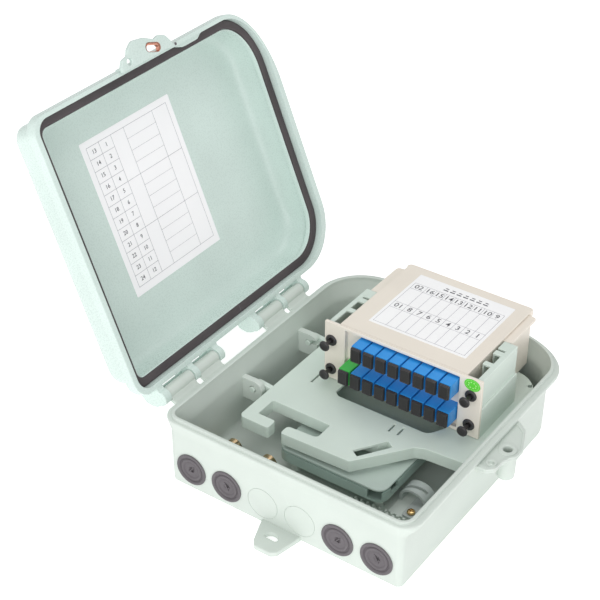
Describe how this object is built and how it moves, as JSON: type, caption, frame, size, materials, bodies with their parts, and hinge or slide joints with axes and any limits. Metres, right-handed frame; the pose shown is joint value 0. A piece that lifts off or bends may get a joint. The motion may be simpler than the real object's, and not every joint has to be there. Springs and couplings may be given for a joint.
{
  "type": "fiber termination box",
  "caption": "Wall-mount fibre termination box: hinged domed lid, hinged panel with a splitter cassette of capped SC adapters, rubber cable entries, latch tab and screw ears.",
  "frame": {"origin": "centre of the back face that lies against the wall", "axes": "+X from the hinge side to the latch side, -Y towards the cable entries, +Z out of the wall"},
  "size_m": [0.344, 0.2778, 0.2759],
  "materials": {
    "shell_plastic": "satin moulded grey-green plastic",
    "panel_plastic": "satin moulded grey-green plastic",
    "seal_rubber": "sponge rubber",
    "plug_rubber": "moulded rubber",
    "cassette_plastic": "satin cream plastic",
    "adapter_blue": "semi-gloss plastic",
    "adapter_green": "semi-gloss plastic",
    "black_plastic": "soft black plastic",
    "strap_plastic": "nylon",
    "tray_plastic": "satin plastic",
    "screw_steel": "zinc-yellow steel",
    "brass": "bright copper alloy",
    "module_metal": "brushed"
  },
  "bodies": {
    "base": {"base_shell": "shell_plastic", "port_plug_1": "plug_rubber", "port_plug_2": "plug_rubber", "port_plug_5": "plug_rubber", "port_plug_6": "plug_rubber", "cable_clamp_1": "brass", "cable_clamp_2": "brass", "cable_strap": "strap_plastic", "strap_screw": "screw_steel", "splice_tray": "tray_plastic", "splice_tray_cover": "tray_plastic"},
    "lid": {"lid_shell": "shell_plastic", "lid_gasket": "seal_rubber", "lock_eyelet": "brass"},
    "panel": {"flip_panel": "panel_plastic", "cassette_housing": "cassette_plastic", "cassette_cover": "cassette_plastic", "plc_splitter_module": "module_metal", "fastener_grommet_1": "black_plastic", "fastener_grommet_2": "black_plastic", "fastener_grommet_3": "black_plastic", "fastener_grommet_4": "black_plastic", "sc_adapter_input": "adapter_green", "sc_adapter_low_1": "adapter_blue", "sc_adapter_low_2": "adapter_blue", "sc_adapter_low_3": "adapter_blue", "sc_adapter_low_4": "adapter_blue", "sc_adapter_low_5": "adapter_blue", "sc_adapter_low_6": "adapter_blue", "sc_adapter_low_7": "adapter_blue", "sc_adapter_low_8": "adapter_blue", "sc_adapter_top_1": "adapter_blue", "sc_adapter_top_2": "adapter_blue", "sc_adapter_top_3": "adapter_blue", "sc_adapter_top_4": "adapter_blue", "sc_adapter_top_5": "adapter_blue", "sc_adapter_top_6": "adapter_blue", "sc_adapter_top_7": "adapter_blue", "sc_adapter_top_8": "adapter_blue"},
    "plunger_body_1": {"plunger_1": "black_plastic"},
    "plunger_body_2": {"plunger_2": "black_plastic"},
    "plunger_body_3": {"plunger_3": "black_plastic"},
    "plunger_body_4": {"plunger_4": "black_plastic"},
    "cap_body_input": {"sc_cap_input": "black_plastic"},
    "cap_body_low_1": {"sc_cap_low_1": "black_plastic"},
    "cap_body_low_2": {"sc_cap_low_2": "black_plastic"},
    "cap_body_low_3": {"sc_cap_low_3": "black_plastic"},
    "cap_body_low_4": {"sc_cap_low_4": "black_plastic"},
    "cap_body_low_5": {"sc_cap_low_5": "black_plastic"},
    "cap_body_low_6": {"sc_cap_low_6": "black_plastic"},
    "cap_body_low_7": {"sc_cap_low_7": "black_plastic"},
    "cap_body_low_8": {"sc_cap_low_8": "black_plastic"},
    "cap_body_top_1": {"sc_cap_top_1": "black_plastic"},
    "cap_body_top_2": {"sc_cap_top_2": "black_plastic"},
    "cap_body_top_3": {"sc_cap_top_3": "black_plastic"},
    "cap_body_top_4": {"sc_cap_top_4": "black_plastic"},
    "cap_body_top_5": {"sc_cap_top_5": "black_plastic"},
    "cap_body_top_6": {"sc_cap_top_6": "black_plastic"},
    "cap_body_top_7": {"sc_cap_top_7": "black_plastic"},
    "cap_body_top_8": {"sc_cap_top_8": "black_plastic"}
  },
  "joints": [
    {"name": "lid_hinge", "type": "hinge", "parent": "base", "child": "lid", "pos_m": [-0.1142, 0, 0.0563], "axis": [0, -1, 0], "range_deg": [-112.2, 0]},
    {"name": "flip_panel_hinge", "type": "hinge", "parent": "base", "child": "panel", "pos_m": [-0.084, 0, 0.035], "axis": [0, -1, 0], "range_deg": [0, 70]},
    {"name": "plunger_1_push", "type": "slide", "parent": "panel", "child": "plunger_body_1", "axis": [0, 1, 0], "range_m": [0, 0.006]},
    {"name": "plunger_2_push", "type": "slide", "parent": "panel", "child": "plunger_body_2", "axis": [0, 1, 0], "range_m": [0, 0.006]},
    {"name": "plunger_3_push", "type": "slide", "parent": "panel", "child": "plunger_body_3", "axis": [0, 1, 0], "range_m": [0, 0.006]},
    {"name": "plunger_4_push", "type": "slide", "parent": "panel", "child": "plunger_body_4", "axis": [0, 1, 0], "range_m": [0, 0.006]},
    {"name": "sc_cap_input_pull", "type": "slide", "parent": "panel", "child": "cap_body_input", "axis": [0, -1, 0], "range_m": [0, 0.014]},
    {"name": "sc_cap_low_1_pull", "type": "slide", "parent": "panel", "child": "cap_body_low_1", "axis": [0, -1, 0], "range_m": [0, 0.014]},
    {"name": "sc_cap_low_2_pull", "type": "slide", "parent": "panel", "child": "cap_body_low_2", "axis": [0, -1, 0], "range_m": [0, 0.014]},
    {"name": "sc_cap_low_3_pull", "type": "slide", "parent": "panel", "child": "cap_body_low_3", "axis": [0, -1, 0], "range_m": [0, 0.014]},
    {"name": "sc_cap_low_4_pull", "type": "slide", "parent": "panel", "child": "cap_body_low_4", "axis": [0, -1, 0], "range_m": [0, 0.014]},
    {"name": "sc_cap_low_5_pull", "type": "slide", "parent": "panel", "child": "cap_body_low_5", "axis": [0, -1, 0], "range_m": [0, 0.014]},
    {"name": "sc_cap_low_6_pull", "type": "slide", "parent": "panel", "child": "cap_body_low_6", "axis": [0, -1, 0], "range_m": [0, 0.014]},
    {"name": "sc_cap_low_7_pull", "type": "slide", "parent": "panel", "child": "cap_body_low_7", "axis": [0, -1, 0], "range_m": [0, 0.014]},
    {"name": "sc_cap_low_8_pull", "type": "slide", "parent": "panel", "child": "cap_body_low_8", "axis": [0, -1, 0], "range_m": [0, 0.014]},
    {"name": "sc_cap_top_1_pull", "type": "slide", "parent": "panel", "child": "cap_body_top_1", "axis": [0, -1, 0], "range_m": [0, 0.014]},
    {"name": "sc_cap_top_2_pull", "type": "slide", "parent": "panel", "child": "cap_body_top_2", "axis": [0, -1, 0], "range_m": [0, 0.014]},
    {"name": "sc_cap_top_3_pull", "type": "slide", "parent": "panel", "child": "cap_body_top_3", "axis": [0, -1, 0], "range_m": [0, 0.014]},
    {"name": "sc_cap_top_4_pull", "type": "slide", "parent": "panel", "child": "cap_body_top_4", "axis": [0, -1, 0], "range_m": [0, 0.014]},
    {"name": "sc_cap_top_5_pull", "type": "slide", "parent": "panel", "child": "cap_body_top_5", "axis": [0, -1, 0], "range_m": [0, 0.014]},
    {"name": "sc_cap_top_6_pull", "type": "slide", "parent": "panel", "child": "cap_body_top_6", "axis": [0, -1, 0], "range_m": [0, 0.014]},
    {"name": "sc_cap_top_7_pull", "type": "slide", "parent": "panel", "child": "cap_body_top_7", "axis": [0, -1, 0], "range_m": [0, 0.014]},
    {"name": "sc_cap_top_8_pull", "type": "slide", "parent": "panel", "child": "cap_body_top_8", "axis": [0, -1, 0], "range_m": [0, 0.014]}
  ]
}
